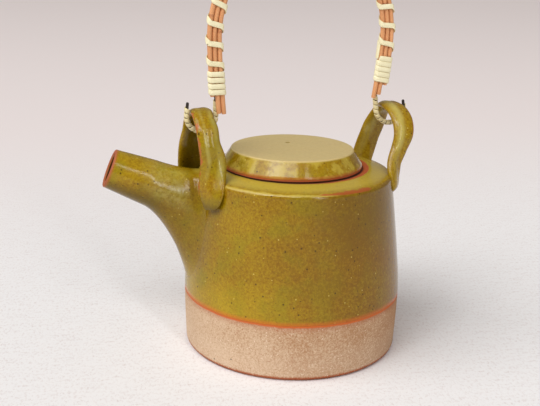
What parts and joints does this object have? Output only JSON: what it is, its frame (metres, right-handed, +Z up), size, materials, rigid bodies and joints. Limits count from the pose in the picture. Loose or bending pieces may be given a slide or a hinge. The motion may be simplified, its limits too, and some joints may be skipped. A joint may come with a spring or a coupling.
{
  "type": "teapot",
  "caption": "Straight-sided stoneware teapot with a flat lift-off lid, a luted spout, two strap lugs and a tall cane bail hung on wire hooks.",
  "frame": {"origin": "middle of the flat foot, on the axis of the thrown body", "axes": "+Z up along the axis of the thrown body, -X towards the spout, +X towards the lug opposite the spout, -Y towards the front seen in the picture; the lugs and the bail lie in a vertical plane turned 7.5 degrees from +X towards +Y"},
  "size_m": [0.182, 0.13, 0.247],
  "materials": {
    "olive_glaze": "glossy olive glaze over stoneware, bare clay below the glaze line",
    "lid_glaze": "satin olive glaze over stoneware",
    "natural_cane": "natural cane, satin",
    "split_cane": "peeled split cane, satin",
    "black_wire": "black annealed wire"
  },
  "bodies": {
    "pot": {"pot_body": "olive_glaze", "spout": "olive_glaze", "lug_left": "olive_glaze", "lug_right": "olive_glaze"},
    "lid_body": {"lid": "lid_glaze"},
    "bail": {"cane_front_inner": "natural_cane", "cane_front_middle": "natural_cane", "cane_front_outer": "natural_cane", "cane_back_inner": "natural_cane", "cane_back_outer": "natural_cane", "binding_band_left": "split_cane", "binding_band_right": "split_cane", "binding_spiral": "split_cane", "hook_wire_left": "black_wire", "hook_wire_right": "black_wire", "hook_wrap_left": "split_cane", "hook_wrap_right": "split_cane"}
  },
  "joints": [
    {"name": "lid_lift", "type": "slide", "parent": "pot", "child": "lid_body", "axis": [0, 0, 1], "range_m": [0, 0.06]},
    {"name": "bail_swing", "type": "hinge", "parent": "pot", "child": "bail", "pos_m": [0, 0, 0.1309], "axis": [0.9914, 0.1305, 0], "range_deg": [-90, 90]}
  ]
}
